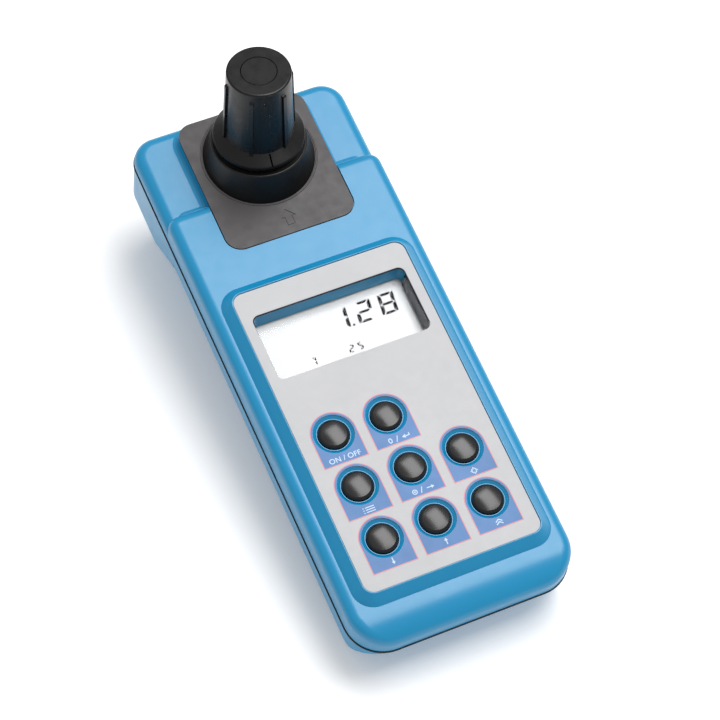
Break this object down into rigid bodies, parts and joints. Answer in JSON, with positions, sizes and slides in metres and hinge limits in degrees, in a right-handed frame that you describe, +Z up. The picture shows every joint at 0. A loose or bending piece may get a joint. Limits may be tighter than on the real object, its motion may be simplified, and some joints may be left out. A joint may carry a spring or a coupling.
{
  "type": "turbidity meter",
  "caption": "Hand-held sample meter: sloping blue case with a display and domed keys, and a raised head whose round well holds a capped glass vial.",
  "frame": {"origin": "on the table under the middle of the meter's bounding box", "axes": "+Z up, +Y towards the head with the sample well, +X to the right of the user who reads the display"},
  "size_m": [0.0826, 0.2125, 0.1015],
  "materials": {
    "blue_case": "satin moulded ABS",
    "black_rubber": "matte",
    "label_grey": "printed polycarbonate film",
    "clear_plastic": "clear acrylic",
    "lcd_glass": "clear glass",
    "black_plastic": "satin moulded",
    "cap_black": "semi-gloss moulded",
    "key_black": "glossy dome",
    "silicone_strip": "layered silicone",
    "board_green": "solder mask",
    "switch_metal": "tinned",
    "chip_black": "moulded epoxy",
    "zinc_steel": "zinc plated",
    "plate_grey": "fine matte",
    "cell_wrap": "plain plastic sleeve",
    "white_liner": "soft liner"
  },
  "bodies": {
    "case": {"top_shell": "blue_case", "bottom_shell": "blue_case", "shell_gasket": "black_rubber", "keypad_label": "label_grey", "display_window": "clear_plastic", "lcd_panel": "lcd_glass", "lcd_frame": "black_plastic", "contact_strips": "silicone_strip", "main_board": "board_green", "key_switches": "switch_metal", "board_chips": "chip_black", "board_screws": "zinc_steel", "head_plate": "plate_grey", "well_collar": "black_plastic", "well_seal": "black_rubber", "optics_block": "black_plastic", "light_source": "clear_plastic", "straight_detector": "chip_black", "scatter_detector": "chip_black", "beam_lens": "lcd_glass", "battery_cells": "cell_wrap", "battery_contacts": "switch_metal", "power_socket": "black_plastic", "rubber_feet": "black_rubber", "case_screws": "zinc_steel"},
    "vial": {"glass_vial": "lcd_glass"},
    "liner": {"cap_liner": "white_liner"},
    "cap": {"vial_cap": "cap_black"},
    "door": {"battery_door": "blue_case"},
    "key_power": {"key_power": "key_black"},
    "key_zero": {"key_zero": "key_black"},
    "key_log": {"key_log": "key_black"},
    "key_read": {"key_read": "key_black"},
    "key_cal": {"key_cal": "key_black"},
    "key_down": {"key_down": "key_black"},
    "key_up": {"key_up": "key_black"},
    "key_shift": {"key_shift": "key_black"}
  },
  "joints": [
    {"name": "power_press", "type": "slide", "parent": "case", "child": "key_power", "axis": [0, 0.1461, -0.9893], "range_m": [0, 0.0008], "stiffness_N_per_m": 600, "springref_m": -0.0006},
    {"name": "zero_press", "type": "slide", "parent": "case", "child": "key_zero", "axis": [0, 0.1461, -0.9893], "range_m": [0, 0.0008], "stiffness_N_per_m": 600, "springref_m": -0.0006},
    {"name": "log_press", "type": "slide", "parent": "case", "child": "key_log", "axis": [0, 0.1461, -0.9893], "range_m": [0, 0.0008], "stiffness_N_per_m": 600, "springref_m": -0.0006},
    {"name": "read_press", "type": "slide", "parent": "case", "child": "key_read", "axis": [0, 0.1461, -0.9893], "range_m": [0, 0.0008], "stiffness_N_per_m": 600, "springref_m": -0.0006},
    {"name": "cal_press", "type": "slide", "parent": "case", "child": "key_cal", "axis": [0, 0.1461, -0.9893], "range_m": [0, 0.0008], "stiffness_N_per_m": 600, "springref_m": -0.0006},
    {"name": "down_press", "type": "slide", "parent": "case", "child": "key_down", "axis": [0, 0.1461, -0.9893], "range_m": [0, 0.0008], "stiffness_N_per_m": 600, "springref_m": -0.0006},
    {"name": "up_press", "type": "slide", "parent": "case", "child": "key_up", "axis": [0, 0.1461, -0.9893], "range_m": [0, 0.0008], "stiffness_N_per_m": 600, "springref_m": -0.0006},
    {"name": "shift_press", "type": "slide", "parent": "case", "child": "key_shift", "axis": [0, 0.1461, -0.9893], "range_m": [0, 0.0008], "stiffness_N_per_m": 600, "springref_m": -0.0006},
    {"name": "vial_lift", "type": "slide", "parent": "case", "child": "vial", "axis": [0, 0, 1], "range_m": [0, 0.075]},
    {"name": "cap_rise", "type": "slide", "parent": "vial", "child": "liner", "axis": [0, 0, 1], "range_m": [0, 0.0046]},
    {"name": "cap_turn", "type": "hinge", "parent": "liner", "child": "cap", "pos_m": [0, 0.07798, 0.08], "axis": [0, 0, 1], "range_deg": [0, 540]},
    {"name": "door_hinge", "type": "hinge", "parent": "case", "child": "door", "pos_m": [0, -0.01045, 0.01384], "axis": [1, 0, 0], "range_deg": [0, 80]}
  ],
  "couplings": [
    {"joint": "cap_rise", "follows": "cap_turn", "m_per_rad": 0.00047746}
  ]
}
